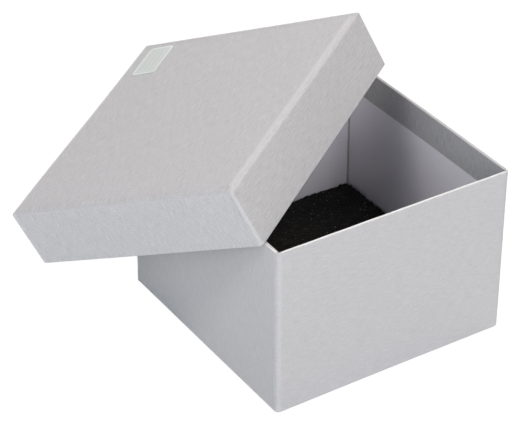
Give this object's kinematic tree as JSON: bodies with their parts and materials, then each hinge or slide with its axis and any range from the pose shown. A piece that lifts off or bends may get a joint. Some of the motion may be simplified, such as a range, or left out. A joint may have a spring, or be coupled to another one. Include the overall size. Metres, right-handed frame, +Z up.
{
  "type": "cryogenic storage box",
  "caption": "Square paper-covered rigid board tray with a black foam pad on its floor and a lift-off lid, for frozen sample tubes; the lid leans on the open tray.",
  "frame": {"origin": "the middle of the tray's underside", "axes": "+Z up, X and Y along the tray's walls, with the end panels of its cover paper on the X faces; the picture sees the -X and -Y faces"},
  "size_m": [0.1968, 0.1964, 0.144],
  "materials": {
    "greyboard": "bare grey board, matt",
    "corner_stay": "brown gummed paper tape, matt",
    "cover_paper": "pale grey paper with a fine linen texture, matt",
    "white_lining": "smooth white paper, matt",
    "foam": "black open-cell foam, rough",
    "sticker": "smooth white sticker, slight sheen"
  },
  "bodies": {
    "tray": {"tray_board": "greyboard", "tray_corner_stay_1": "corner_stay", "tray_corner_stay_2": "corner_stay", "tray_corner_stay_3": "corner_stay", "tray_corner_stay_4": "corner_stay", "tray_cover_paper": "cover_paper", "tray_lining": "white_lining"},
    "lid": {"lid_board": "greyboard", "lid_corner_stay_1": "corner_stay", "lid_corner_stay_2": "corner_stay", "lid_corner_stay_3": "corner_stay", "lid_corner_stay_4": "corner_stay", "lid_cover_paper": "cover_paper", "lid_lining": "white_lining", "sticker": "sticker"},
    "pad": {"foam_pad": "foam"}
  },
  "joints": [
    {"name": "lid_lift", "type": "slide", "parent": "tray", "child": "lid", "axis": [0, 0, 1], "range_m": [0, 0.1]},
    {"name": "pad_lift", "type": "slide", "parent": "tray", "child": "pad", "axis": [0, 0, 1], "range_m": [0, 0.07]}
  ]
}
